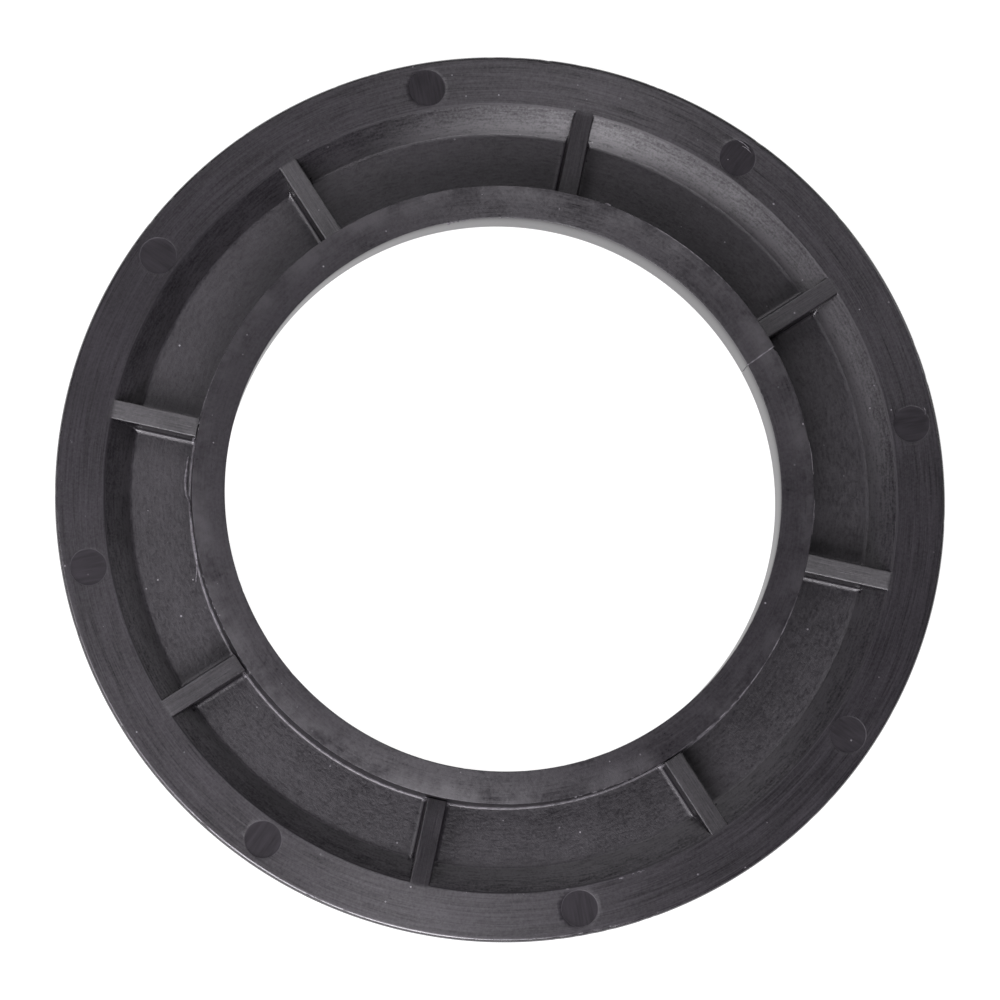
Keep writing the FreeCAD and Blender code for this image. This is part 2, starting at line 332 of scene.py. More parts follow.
def sink_pin_mark(mesh, number):
    """Cuts one round dent into the flat land, its edge a true circle."""
    turn = (number + 0.5) * SECTOR
    centre = Vector((math.cos(turn), math.sin(turn), 0)) * PIN_CIRCLE
    near = (PIN_RADIUS + PIN_CLEARING) * MM
    middle = Vector((centre.x, centre.y, LAND_TOP)) * MM
    inside = {vert for vert in mesh.verts
              if vert.co.z > (LAND_TOP - 0.05) * MM and (vert.co - middle).length < near}
    doomed = {face for vert in inside for face in vert.link_faces}
    border = {vert for face in doomed for vert in face.verts} - inside
    bmesh.ops.delete(mesh, geom=list(doomed), context="FACES_ONLY")
    bmesh.ops.delete(mesh, geom=list(inside), context="VERTS")

    def turn_of(vert):
        gap = vert.co - middle
        return math.atan2(gap.y, gap.x)

    dice = random.Random(100 + number)
    slant = Vector((dice.uniform(-1, 1), dice.uniform(-1, 1))) * PIN_SLANT
    circles = []
    for radius, depth in PIN_STEPS:
        circle = []
        for i in range(PIN_SEGMENTS):
            angle = 2 * math.pi * i / PIN_SEGMENTS - math.pi
            x, y = radius * math.cos(angle), radius * math.sin(angle)
            lean = (slant.x * x + slant.y * y) / PIN_RADIUS * (depth / PIN_DEPTH)
            z = LAND_TOP - depth + lean
            circle.append(mesh.verts.new(((centre.x + x) * MM, (centre.y + y) * MM, z * MM)))
        circles.append(circle)
    for outer, inner in zip(circles, circles[1:]):
        for i in range(PIN_SEGMENTS):
            after = (i + 1) % PIN_SEGMENTS
            mesh.faces.new((outer[i], outer[after], inner[after], inner[i]))
    tip = mesh.verts.new((centre.x * MM, centre.y * MM, (LAND_TOP - PIN_DEPTH) * MM))
    last = circles[-1]
    for i in range(PIN_SEGMENTS):
        mesh.faces.new((last[i], last[(i + 1) % PIN_SEGMENTS], tip))
    zip_loops(mesh, sorted(border, key=turn_of), circles[0], turn_of)


def zip_loops(mesh, outer, inner, turn_of):
    """Fills the flat gap between two loops that are sorted by angle."""
    outer_turns = [turn_of(vert) for vert in outer]
    inner_turns = [-math.pi + 2 * math.pi * i / len(inner) for i in range(len(inner))]
    i = j = 0
    while i < len(outer) or j < len(inner):
        next_outer = outer_turns[i + 1] if i + 1 < len(outer) else outer_turns[0] + 2 * math.pi
        next_inner = inner_turns[j + 1] if j + 1 < len(inner) else math.pi
        here, there = outer[i % len(outer)], inner[j % len(inner)]
        if j >= len(inner) or (i < len(outer) and next_outer <= next_inner):
            mesh.faces.new((here, outer[(i + 1) % len(outer)], there))
            i += 1
        else:
            mesh.faces.new((here, there, inner[(j + 1) % len(inner)]))
            j += 1


def joint_turn(radius, side):
    """The angle at which one side (-1 or 1) of the collar's split crosses a radius."""
    along = Vector((math.cos(JOINT_ANGLE), math.sin(JOINT_ANGLE)))
    start = Vector(JOINT_CENTRE) + Vector((-along.y, along.x)) * side * JOINT_GAP / 2
    reach = start.dot(along)
    run = -reach + math.sqrt(reach ** 2 - start.length_squared + radius ** 2)
    point = start + along * run
    return math.atan2(point.y, point.x)


def collar_band():
    """The split collar as one closed mesh, its ends a hair apart."""
    outer, inner = COLLAR_OUTER_ROUND, COLLAR_INNER_ROUND
    section = arc((COLLAR_RADIUS - outer, COLLAR_TOP - outer), outer, 0, 90, 4)
    section += [(r, COLLAR_TOP) for r in spread(section[-1][0], BORE_RADIUS + inner, 7)[:-1]]
    section += arc((BORE_RADIUS + inner, COLLAR_TOP - inner), inner, 90, 180, 6)
    section += [(BORE_RADIUS, z) for z in spread(COLLAR_TOP - inner, inner, 9)[:-1]]
    section += arc((BORE_RADIUS + inner, inner), inner, 180, 270, 5)
    section += [(r, 0.0) for r in spread(BORE_RADIUS + inner, COLLAR_RADIUS, 4)]
    section += [(COLLAR_RADIUS, z) for z in spread(0.0, section[0][1], 8)[:-1]]

    edge_dent = nicks(**OUTER_NICKS)
    bore_dent = nicks(**BORE_NICKS)
    mesh = bmesh.new()
    slices = []
    for j in range(COLLAR_COLUMNS + 1):
        share = j / COLLAR_COLUMNS
        line = []
        for radius, height in section:
            first = joint_turn(radius, 1)
            last = joint_turn(radius, -1) + 2 * math.pi
            turn = first + (last - first) * share
            r = radius
            high = max(height - (COLLAR_TOP - NICK_DROP), 0.0) / NICK_DROP
            if radius > COLLAR_RADIUS - NICK_REACH:
                r -= edge_dent(turn, radius) * high
            if radius < BORE_RADIUS + NICK_REACH:
                r += bore_dent(turn, radius) * high
            # The end on the -Y side has lost its outer corner.
            lost = max(1 - (last - turn) * radius / CORNER_LENGTH, 0.0)
            if radius > COLLAR_RADIUS - CORNER_WIDTH and height > LAND_TOP:
                r -= CORNER_DEPTH * lost * (radius - COLLAR_RADIUS + CORNER_WIDTH)
            x, y = r * math.cos(turn), r * math.sin(turn)
            line.append(mesh.verts.new((x * MM, y * MM, height * MM)))
        slices.append(line)
    count = len(section)
    for here, there in zip(slices, slices[1:]):
        for i in range(count):
            after = (i + 1) % count
            mesh.faces.new((here[i], there[i], there[after], here[after]))
    mesh.faces.new(slices[0])
    mesh.faces.new(list(reversed(slices[-1])))
    return finish_mesh("collar_band", mesh)


def finish_mesh(name, mesh):
    """Turns mesh code into an object with smooth faces and crisp edges."""
    bmesh.ops.recalc_face_normals(mesh, faces=mesh.faces)
    data = bpy.data.meshes.new(name)
    mesh.to_mesh(data)
    mesh.free()
    data.shade_smooth()
    data.set_sharp_from_angle(angle=SHARP_ANGLE)
    piece = bpy.data.objects.new(name, data)
    bpy.context.scene.collection.objects.link(piece)
    weighted = piece.modifiers.new("even_shading", "WEIGHTED_NORMAL")
    weighted.keep_sharp = True
    return piece


# ---------------------------------------------------------------- flash and torn edges
def smooth_route(points, steps=7):
    """A route's points joined by a smooth curve that passes through each of them."""
    padded = [points[0]] + list(points) + [points[-1]]
    route = []
    for a, b, c, d in zip(padded, padded[1:], padded[2:], padded[3:]):
        for i in range(steps):
            t = i / steps
            route.append(0.5 * (2 * b + (c - a) * t + (2 * a - 5 * b + 4 * c - d) * t ** 2
                                + (3 * b - a - 3 * c + d) * t ** 3))
    return route + [points[-1]]


def on_ring(radius, degrees, height):
    """A point given by its radius, its angle in degrees and its height."""
    turn = math.radians(degrees)
    return Vector((radius * math.cos(turn), radius * math.sin(turn), height))


def add_sliver(mesh, points, width, thickness, dice):
    """Adds a ragged strip along points: a closed tube that narrows to both ends."""
    route = smooth_route(points)
    count, sides = len(route), 8
    loops = []
    for i, point in enumerate(route[1:-1], start=1):
        along = (route[i + 1] - route[i - 1]).normalized()
        across = along.cross(Vector((0, 0, 1))).normalized()
        out = across.cross(along)
        taper = math.sin(math.pi * i / (count - 1)) ** 0.5
        half_wide = width / 2 * taper * dice.uniform(0.65, 1.15)
        half_thick = thickness / 2 * taper * dice.uniform(0.7, 1.1)
        loop = []
        for k in range(sides):
            turn = 2 * math.pi * k / sides
            off = across * (half_wide * math.cos(turn)) + out * (half_thick * math.sin(turn))
            loop.append(mesh.verts.new((point + off) * MM))
        loops.append(loop)
    for here, there in zip(loops, loops[1:]):
        for k in range(sides):
            after = (k + 1) % sides
            mesh.faces.new((here[k], here[after], there[after], there[k]))
    for tip_place, loop in ((route[0], loops[0]), (route[-1], loops[-1])):
        tip = mesh.verts.new(tip_place * MM)
        for k in range(sides):
            mesh.faces.new((loop[k], tip, loop[(k + 1) % sides]))


def add_torn_edge(mesh, radius, height, first, last, count, size, dice):
    """Scatters short slivers along an edge between two angles, in degrees."""
    for _ in range(count):
        middle = dice.uniform(first, last)
        half = dice.uniform(0.25, 0.6) * size / radius * 180 / math.pi
        wander = [dice.uniform(-0.2, 0.2) * size for _ in range(3)]
        sink = dice.uniform(0.02, 0.1) * size
        points = [on_ring(radius + wander[i], middle + (i - 1) * half, height - sink)
                  for i in range(3)]
        add_sliver(mesh, points, 0.22 * size, 0.12 * size, dice)


def make_flash(name, build, seed, material):
    """One piece of flash, made by build(mesh, dice) and fixed to the part."""
    mesh = bmesh.new()
    build(mesh, random.Random(seed))
    piece = finish_mesh(name, mesh)
    piece.data.materials.append(material)
    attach(piece, "root")


def joint_fin(mesh, dice):
    """The pale fin of plastic squeezed into the collar's split."""
    points = []
    for radius in (COLLAR_RADIUS + 0.12, 60.9, 59.6, 58.2, 56.9, BORE_RADIUS + 0.05):
        turn = math.degrees(joint_turn(radius, 0)) + dice.uniform(-0.02, 0.02)
        points.append(on_ring(radius, turn, COLLAR_TOP - 0.09))
    add_sliver(mesh, points, 0.34, 0.14, dice)


def base_sliver(mesh, dice):
    """A loose hair of flash that climbs the collar's side and curls off at its end."""
    points = [on_ring(radius, degrees, height) for radius, degrees, height in SLIVER_ROUTE]
    add_sliver(mesh, points, 0.42, 0.22, dice)
    flap = [point - Vector((0, 0, 0.12)) for point in points[:5]]
    add_sliver(mesh, flap, 0.62, 0.16, dice)


def bore_burr(mesh, dice):
    """Torn bits on the bore's front edge."""
    add_torn_edge(mesh, BORE_RADIUS - 0.02, COLLAR_TOP - 0.1, 65.0, 70.0, 9, 0.9, dice)
    add_torn_edge(mesh, BORE_RADIUS + 0.05, COLLAR_TOP - 0.08, 56.0, 63.0, 4, 0.6, dice)
    drop = [on_ring(BORE_RADIUS + gap, 68.6, COLLAR_TOP - low)
            for gap, low in ((0.2, 0.35), (-0.25, 0.55), (-0.5, 0.6))]
    add_sliver(mesh, drop, 0.45, 0.3, dice)


def collar_edge_flash(mesh, dice):
    """Thin flash left along stretches of the collar's outer edge."""
    edge, top = COLLAR_RADIUS + 0.02, COLLAR_TOP - 0.06
    add_torn_edge(mesh, edge, top, -113.0, -96.0, 16, 0.7, dice)
    add_torn_edge(mesh, edge, top, 128.0, 136.0, 7, 0.7, dice)
    add_torn_edge(mesh, edge, top, 163.0, 184.0, 14, 0.6, dice)
    add_torn_edge(mesh, edge, top, 36.5, 39.0, 3, 1.1, dice)
    for first, last in ((-40.5, -33.5), (-29.0, -22.5)):
        points = [on_ring(edge + dice.uniform(-0.03, 0.12), degrees, top - 0.1)
                  for degrees in [first] + spread(first, last, 6)]
        add_sliver(mesh, points, 0.16, 0.16, dice)


def rib_end_flash(mesh, dice):
    """Shreds at the rib ends, where the mould's parts met."""
    for number in (-3, 3, -1):
        middle = number * 45.0
        for side in (-1, 1):
            off = math.degrees(RIB_HALF_WIDTH / RIB_START)
            add_torn_edge(mesh, RIB_START - 0.05, LAND_TOP - dice.uniform(0.3, 3.5),
                          middle + side * off - 0.5, middle + side * off + 0.5, 2, 0.8, dice)


def land_edge_flash(mesh, dice):
    """A ragged pale edge where the land meets the sloped wall."""
    add_torn_edge(mesh, LAND_INNER + 0.35, LAND_TOP + 0.03, -109.0, -102.0, 11, 0.7, dice)
    add_torn_edge(mesh, LAND_INNER + 0.15, LAND_TOP + 0.02, -122.0, -109.0, 8, 0.5, dice)


def pin_burrs(mesh, dice):
    """Burrs standing on the rims of some pin marks."""
    for radius, first, last in ((86.9, 23.9, 21.9), (86.4, 22.9, 21.3), (87.0, -20.6, -21.6)):
        middle = (first + last) / 2
        points = [on_ring(radius - 0.1, first, LAND_TOP + 0.02),
                  on_ring(radius, middle, LAND_TOP + 0.05),
                  on_ring(radius - 0.25, last, LAND_TOP + 0.02)]
        add_sliver(mesh, points, 0.22, 0.12, dice)


# ---------------------------------------------------------------- node graphs
NOISE_GAIN = 5  # noise mostly stays within 0.2 of its mean, and this makes that a full swing
STREAK_RADIUS = 80.0  # turned streaks have their stated length at this radius


class Graph:
    """A material's node graph, built with short calls."""

    def __init__(self, name):
        self.material = bpy.data.materials.new(name)
        self.material.use_nodes = True
        self.tree = self.material.node_tree
        self.tree.nodes.clear()

    def feed(self, socket, value):
        if isinstance(value, bpy.types.NodeSocket):
            self.tree.links.new(value, socket)
        else:
            socket.default_value = value

    def add(self, kind, inputs=(), **settings):
        node = self.tree.nodes.new("ShaderNode" + kind)
        for key, value in settings.items():
            setattr(node, key, value)
        for key, value in dict(inputs).items():
            self.feed(node.inputs[key], value)
        return node

    def math(self, operation, *values):
        node = self.add("Math", operation=operation)
        for socket, value in zip(node.inputs, values):
            self.feed(socket, value)
        return node.outputs[0]

    def plus(self, first, *others):
        for other in others:
            first = self.math("ADD", first, other)
        return first

    def times(self, first, *others):
        for other in others:
            first = self.math("MULTIPLY", first, other)
        return first

    def both(self, *masks):
        return self.times(*masks)

    def either(self, first, *others):
        for other in others:
            first = self.math("MAXIMUM", first, other)
        return first

    def without(self, mask):
        return self.math("SUBTRACT", 1.0, mask)

    def step(self, value, low, high, start=0.0, end=1.0):
        """start below low, end above high, with a smooth change between."""
        node = self.add("MapRange", interpolation_type="SMOOTHSTEP")
        for key, number in zip(range(5), (value, low, high, start, end)):
            self.feed(node.inputs[key], number)
        return node.outputs[0]

    def band(self, value, low, high, soft):
        """1 between low and high, with soft edges."""
        rise = self.step(value, low - soft, low + soft)
        return self.both(rise, self.step(value, high + soft, high - soft))

    def vector(self, x, y, z=0.0):
        return self.add("CombineXYZ", {0: x, 1: y, 2: z}).outputs[0]

    def noise(self, vector, scale=1.0, detail=2.0, rough=0.5):
        """Noise between about 0 and 1, its mean at 0.5."""
        inputs = {"Vector": vector, "Scale": scale, "Detail": detail, "Roughness": rough}
        return self.add("TexNoise", inputs).outputs["Fac"]

    def swing(self, noise, amount):
        """Noise as a change of up to about amount either way."""
        return self.times(self.math("SUBTRACT", noise, 0.5), NOISE_GAIN * amount)

    def layers(self, rows, kinds, grains, relief=False):
        """Adds up rows of (kind of surface, change, {grain: swing}), each within its mask."""
        total = []
        for kind, change, swings in rows:
            parts = [change] if change else []
            for name, amount in swings.items():
                grow = self.times if relief else self.swing
                parts.append(grow(grains[name], amount))
            part = self.plus(*parts)
            total.append(part if kind == "everywhere" else self.times(kinds[kind], part))
        return self.plus(*total)

    def blend(self, factor, low, high):
        """Mixes two colours or two vectors."""
        node = self.add("Mix", {0: factor}, data_type="RGBA")
        self.feed(node.inputs[6], low)
        self.feed(node.inputs[7], high)
        return node.outputs[2]

    def shade(self, colour, amount):
        """A colour times a plain number."""
        node = self.add("VectorMath", operation="SCALE")
        self.feed(node.inputs[0], colour)
        self.feed(node.inputs["Scale"], amount)
        return node.outputs[0]


class RingGraph(Graph):
    """A graph that knows where a point lies on the ring, in millimetres."""

    def __init__(self, name):
        super().__init__(name)
        place = self.add("TexCoord").outputs["Object"]
        self.place = self.shade(place, 1 / MM)
        split = self.add("SeparateXYZ", {0: self.place})
        self.x, self.y, self.z = split.outputs
        x_squared = self.times(self.x, self.x)
        self.radius = self.math("SQRT", self.plus(x_squared, self.times(self.y, self.y)))
        self.angle = self.math("ARCTAN2", self.y, self.x)
        self.cosine = self.math("DIVIDE", self.x, self.radius)
        self.sine = self.math("DIVIDE", self.y, self.radius)
        facing = self.add("SeparateXYZ", {0: self.add("NewGeometry").outputs["Normal"]})
        self.facing_up = facing.outputs[2]
        self.steep = self.step(self.facing_up, 0.5, 0.25)

    def sector(self, offset):
        """Place within the sector centred at offset: (along, across, sector number)."""
        turned = self.math("SUBTRACT", self.angle, offset)
        number = self.math("ROUND", self.math("DIVIDE", turned, SECTOR))
        inside = self.math("SUBTRACT", turned, self.times(number, SECTOR))
        along = self.times(self.radius, self.math("COSINE", inside))
        across = self.times(self.radius, self.math("SINE", inside))
        return along, across, number

    def turned_grain(self, length, width, shift=0.0):
        """Streaks round the ring, length long and width wide."""
        turns = STREAK_RADIUS / length
        x = self.times(self.cosine, turns)
        y = self.times(self.sine, turns)
        z = self.plus(self.times(self.radius, 1 / width), shift)
        return self.noise(self.vector(x, y, z), detail=3.0, rough=0.6)

    def specks(self, cell, size, share):
        """Small flecks that lie on upward faces, one in share of the cells."""
        flat = self.vector(self.x, self.y)
        inputs = {"Vector": flat, "Scale": 1 / cell}
        cells = self.add("TexVoronoi", inputs, voronoi_dimensions="2D")
        chance = self.add("SeparateColor", {0: cells.outputs["Color"]})
        reach = self.times(self.plus(chance.outputs[1], 0.4), size / cell)
        spot = self.math("LESS_THAN", cells.outputs["Distance"], reach)
        chosen = self.math("LESS_THAN", chance.outputs[0], share)
        return self.both(spot, chosen, self.step(self.facing_up, 0.3, 0.6))

    def finish(self, colour, roughness, height, anisotropic, tangent, specular=0.5):
        """Closes the graph with its plastic shader. height is in millimetres."""
        bump = self.add("Bump", {"Height": height, "Distance": MM})
        surface = self.add("BsdfPrincipled", {
            "Base Color": colour,
            "Roughness": roughness,
            "IOR": 1.5,
            "Specular IOR Level": specular,
            "Anisotropic": anisotropic,
            "Tangent": tangent,
            "Normal": bump.outputs[0],
        })
        output = self.add("OutputMaterial")
        self.tree.links.new(surface.outputs[0], output.inputs[0])
        return self.material


# ---------------------------------------------------------------- materials
CHARCOAL = (0.0170, 0.0155, 0.0180, 1)
# Pale colour for dust, wear, stress marks and flash, and for painted highlights on the lip,
# pin-mark edges and collar edge.
PALE_WEAR_AND_HIGHLIGHT = (0.34, 0.33, 0.35, 1)
LEAST_TONE = 0.2  # the darkest grain keeps this share of its colour
LEAST_SHINE, MOST_SHINE = 0.02, 1.0
DEEPEST_STREAK = -0.4  # the most that a dull streak takes from the shine
DEEPEST_SMUDGE = -0.2
FLANGE_GRAIN, COLLAR_GRAIN = 0.92, 0.85  # how strongly the grain spreads the shine

# Each row is (kind of surface, change, {grain: swing}): what that kind of surface adds to the
# tone (a share of the colour), the roughness or the shine. Relief rows are in millimetres.
FLANGE_TONE = (
    ("everywhere", 1.0, {}),
    ("turned", 0, {"fine": 0.35, "broad": 0.3}),
    ("rib_top", -0.3, {"rib_grain": 0.3}),
    ("floor", 0, {"mottle": 0.16, "streaks": 0.12}),
    ("wall", -0.2, {"brushed": 0.12, "mottle": 0.12}),
    ("pin_mark", 0, {"scratches": 0.3}),
    # Painted shade: steep faces such as the rim side and the rib sides are darkened in colour.
    ("steep", -0.5, {}),
    ("everywhere", 0, {"cloud": 0.15}),
)
FLANGE_ROUGHNESS = (
    ("everywhere", 0.50, {"cloud": 0.03}),
    ("turned", 0, {"fine": 0.10, "broad": 0.07}),
    ("rib_top", -0.12, {"rib_grain": 0.04}),
    ("floor", 0.02, {"mottle": 0.12, "streaks": 0.08}),
    ("wall", -0.07, {"brushed": 0.05}),
    ("pin_mark", 0.18, {"scratches": 0.1}),
    ("grained", 0, {"mottle": 0.03}),
    ("steep_inside", -0.2, {}),
    ("rim_edge", -0.24, {"grit": 0.05}),
    ("rim_side", 0.3, {}),
    ("lip", -0.2, {"grit": 0.1}),
    ("rib_foot", -0.14, {}),
)
FLANGE_RELIEF = (
    ("turned", 0, {"fine": 0.03, "broad": 0.05, "mottle": 0.012}),
    ("rib_top", 0, {"rib_grain": 0.05, "mottle": 0.015}),
    ("floor", 0, {"mottle": 0.08, "streaks": 0.06}),
    ("wall", 0, {"brushed": 0.05, "mottle": 0.015}),
    ("pin_mark", 0, {"scratches": 0.05}),
)
FLANGE_SHINE = (
    ("everywhere", 0.5, {}),
    ("rib_top", 0.32, {}),
    ("wall", 0.1, {}),
    ("wall_foot", 0.4, {}),
    ("pin_mark", -0.34, {}),
    ("rim_edge", 0.5, {}),
    ("steep_below_rim", -0.4, {}),
)
FLANGE_STREAKS = (
    ("turned", 0, {"fine": 0.11, "broad": 0.06, "mottle": 0.16}),
    ("rib_top", 0, {"rib_grain": 0.14, "mottle": 0.14}),
    ("floor", 0, {"mottle": 0.09, "streaks": 0.09}),
    ("wall", 0, {"brushed": 0.28, "mottle": 0.28}),
)
COLLAR_TONE = (
    ("everywhere", 1.0, {"smudge": 0.18, "mottle": 0.12}),
    ("top_face", 0, {"fine": 0.15}),
    # Painted shade: the collar's outer side is darkened in colour.
    ("outer_side", -0.4, {}),
)
COLLAR_ROUGHNESS = (
    ("everywhere", 0.47, {}),
    ("top_face", 0, {"fine": 0.09, "mottle": 0.08, "smudge": 0.1}),
    ("steep", -0.15, {}),
)
COLLAR_RELIEF = (
    ("top_face", 0, {"fine": 0.03, "smudge": 0.15}),
    ("outside_bore", 0, {"mottle": 0.05}),
)
COLLAR_SHINE = (
    ("everywhere", 0.5, {}),
    ("outer_half", 0.12, {}),
    ("top_face", 0, {"fine": 0.07, "mottle": 0.10}),
    ("bore", -0.42, {}),
    ("deep_bore", 0.52, {}),
    ("outer_side", -0.4, {}),
)
DUST = {"cell": 2.9, "size": 0.15, "share": 0.06}
DUST_ON_COLLAR = {"cell": 2.9, "size": 0.14, "share": 0.06}
DUST_COVER = 0.5

# Stretches of the collar's outer edge that are painted pale as a painted highlight: (first,
# last, softness), radians.
HIGHLIT_EDGE_STRETCHES = ((-1.50, -0.95, 0.12), (0.18, 0.50, 0.1))


def flange_kinds(g):
    """Masks for each kind of surface on the flange ring. Their soft edges are in millimetres."""
    across = g.sector(0.0)[1]
    pin_along, pin_across, _ = g.sector(SECTOR / 2)
    side = g.math("ABSOLUTE", across)
    pin_x = g.math("SUBTRACT", pin_along, PIN_CIRCLE)
    pin_gap = g.math("SQRT", g.plus(g.times(pin_x, pin_x), g.times(pin_across, pin_across)))

    top_face = g.step(g.z, LAND_TOP - 0.35, LAND_TOP - 0.2)
    land = g.both(top_face, g.step(g.radius, LAND_INNER - 0.2, LAND_INNER + 0.2))
    floor = g.step(g.z, FLOOR_TOP + 0.35, FLOOR_TOP + 0.1)
    above_floor = g.step(g.z, FLOOR_TOP + 0.02, FLOOR_TOP + 0.08)
    on_rib = g.both(g.step(side, RIB_HALF_WIDTH + 0.15, RIB_HALF_WIDTH),
                    g.step(g.radius, LAND_INNER + 0.9, LAND_INNER - 0.7),
                    g.step(g.z, FLOOR_TOP + 1.2, FLOOR_TOP + 1.6))
    rib_top = g.both(on_rib, top_face)
    rib_foot = g.both(g.step(side, RIB_HALF_FOOT + 0.1, RIB_HALF_FOOT - 0.1),
                      g.step(side, RIB_HALF_WIDTH + 0.05, RIB_HALF_WIDTH + 0.2),
                      g.step(g.radius, FLOOR_OUTER + 2.0, FLOOR_OUTER + 1.0),
                      g.step(g.z, FLOOR_TOP + 1.3, FLOOR_TOP + 1.0), above_floor)
    pin_mark = g.both(g.step(pin_gap, PIN_RADIUS + 0.05, PIN_RADIUS - 0.05), top_face)
    pin_edge = g.both(g.band(pin_gap, PIN_RADIUS - 0.12, PIN_RADIUS + 0.02, 0.04), top_face)
    outer = g.step(g.radius, RIM_CORNER - 0.75, RIM_CORNER - 0.55)
    rim_edge = g.both(outer, g.step(g.z, LAND_TOP - 0.9, LAND_TOP - 0.6))
    rim_side = g.both(outer, g.step(g.z, LAND_TOP - 0.5, LAND_TOP - 0.8))
    lip = g.both(g.step(g.radius, SEAT_RADIUS + 0.9, SEAT_RADIUS + 0.6), g.without(on_rib),
                 above_floor)
    turned = g.both(land, g.without(pin_mark), g.without(rib_top), g.without(outer))
    wall = g.both(g.without(top_face), g.without(floor), g.without(on_rib),
                  g.band(g.radius, FLOOR_OUTER - 0.8, LAND_INNER + 0.3, 0.2))
    return {
        "turned": turned, "rib_top": rib_top, "floor": floor, "wall": wall, "lip": lip,
        "rib_foot": rib_foot, "pin_mark": pin_mark, "pin_edge": pin_edge,
        "rim_edge": rim_edge, "rim_side": rim_side, "steep": g.steep,
        "grained": g.either(turned, rib_top, wall),
        "steep_inside": g.both(g.steep, g.without(rim_side)),
        "steep_below_rim": g.both(g.steep, g.without(rim_edge)),
        "wall_foot": g.both(wall, g.step(g.radius, LAND_INNER, FLOOR_OUTER)),
    }


def flange_grains(g):
    """The flange ring's patterns, each a noise round 0.5. Sizes are in millimetres."""
    along, across, rib = g.sector(0.0)
    pin_along, pin_across, pin = g.sector(SECTOR / 2)
    pin_x = g.math("SUBTRACT", pin_along, PIN_CIRCLE)
    rib_place = g.vector(g.times(along, 1 / 7.0), g.times(across, 1 / 0.2), g.times(rib, 7.3))
    scratch_place = g.vector(g.times(pin_x, 1 / 5.0), g.times(pin_across, 1 / 0.5),
                             g.times(pin, 3.1))
    return {
        "fine": g.turned_grain(length=9.0, width=0.22),
        "broad": g.turned_grain(length=22.0, width=0.75, shift=40.0),
        "streaks": g.turned_grain(length=2.2, width=0.5, shift=23.0),
        "brushed": g.turned_grain(length=3.5, width=0.35, shift=11.0),
        "rib_grain": g.noise(rib_place, detail=3.0, rough=0.6),
        "scratches": g.noise(scratch_place, detail=2.0),
        "mottle": g.noise(g.place, scale=1 / 0.5, detail=3.0, rough=0.65),
        "grit": g.noise(g.place, scale=1 / 1.5, detail=1.0),
        "cloud": g.noise(g.place, scale=1 / 9.0, detail=3.0),
    }


def flange_plastic():
    """Moulded plastic: turned land, brushed wall, drawn ribs, eggshell floor, painted shade on
    steep sides and painted highlights on the lip and pin-mark edges.
    """
    g = RingGraph("flange_finish")
    kinds, grains = flange_kinds(g), flange_grains(g)
    grit, cloud = grains["grit"], grains["cloud"]

    tone = g.shade(CHARCOAL[:3], g.either(g.layers(FLANGE_TONE, kinds, grains), LEAST_TONE))
    dust = g.both(g.specks(**DUST), g.step(grit, 0.3, 0.7))
    # The lip is painted pale: partly stress-whitened wear, partly a painted highlight of its
    # fillet.
    lip_scuff_and_highlight = g.times(kinds["lip"], g.step(grit, 0.1, 0.7, 0.12, 0.34))
    # Painted highlight: a faint pale ring along each pin mark's step.
    pin_edge_highlight = g.times(kinds["pin_edge"], g.step(cloud, 0.4, 0.6, 0.02, 0.12))
    colour = g.blend(g.either(g.times(dust, DUST_COVER), lip_scuff_and_highlight, pin_edge_highlight), tone, PALE_WEAR_AND_HIGHLIGHT)

    # The shine spreads across the grain: outwards on the land, sideways on a rib.
    outward = g.vector(g.cosine, g.sine)
    sideways = g.vector(g.times(g.sine, -1.0), g.cosine)
    # Polished and dull streaks change how strongly each surface shines.
    streaks = g.either(g.layers(FLANGE_STREAKS, kinds, grains), DEEPEST_STREAK)
    shine = g.plus(g.layers(FLANGE_SHINE, kinds, grains), streaks)
    return g.finish(colour,
                    roughness=g.layers(FLANGE_ROUGHNESS, kinds, grains),
                    height=g.layers(FLANGE_RELIEF, kinds, grains, relief=True),
                    anisotropic=g.times(kinds["grained"], FLANGE_GRAIN),
                    tangent=g.blend(kinds["rib_top"], outward, sideways),
                    specular=g.math("MINIMUM", g.either(shine, LEAST_SHINE), MOST_SHINE))


def collar_kinds(g):
    """Masks for each kind of surface on the collar. Their soft edges are in millimetres."""
    top_face = g.step(g.z, COLLAR_TOP - 0.35, COLLAR_TOP - 0.15)
    bore = g.both(g.without(top_face), g.step(g.radius, BORE_RADIUS + 0.5, BORE_RADIUS + 0.2))
    outer_half = g.step(g.radius, BORE_RADIUS + 1.5, COLLAR_RADIUS - 0.8)

    # The split runs along JOINT_ANGLE through JOINT_CENTRE, on the +X side only.
    x = g.math("SUBTRACT", g.x, JOINT_CENTRE[0])
    y = g.math("SUBTRACT", g.y, JOINT_CENTRE[1])
    off_joint = g.math("ABSOLUTE", g.math("SUBTRACT",
                                          g.times(y, math.cos(JOINT_ANGLE)),
                                          g.times(x, math.sin(JOINT_ANGLE))))
    edge = g.both(g.step(g.radius, COLLAR_RADIUS - 0.3, COLLAR_RADIUS - 0.15),
                  g.step(g.z, COLLAR_TOP - 0.3, COLLAR_TOP - 0.15))
    highlit_stretch = g.either(*(g.band(g.angle, *stretch) for stretch in HIGHLIT_EDGE_STRETCHES))
    return {
        "top_face": top_face, "bore": bore, "steep": g.steep,
        "outer_half": g.both(top_face, outer_half),
        "outside_bore": g.without(bore),
        "deep_bore": g.both(bore, g.step(g.z, COLLAR_TOP - 0.3, COLLAR_TOP - 7.0)),
        "outer_side": g.both(g.steep, g.step(g.radius, COLLAR_RADIUS - 0.3,
                                             COLLAR_RADIUS - 0.1)),
        "joint": g.both(g.step(off_joint, 0.16, 0.06), top_face, g.step(g.x, 40.0, 41.0)),
        "rubbed_edge": g.both(edge, highlit_stretch),
    }


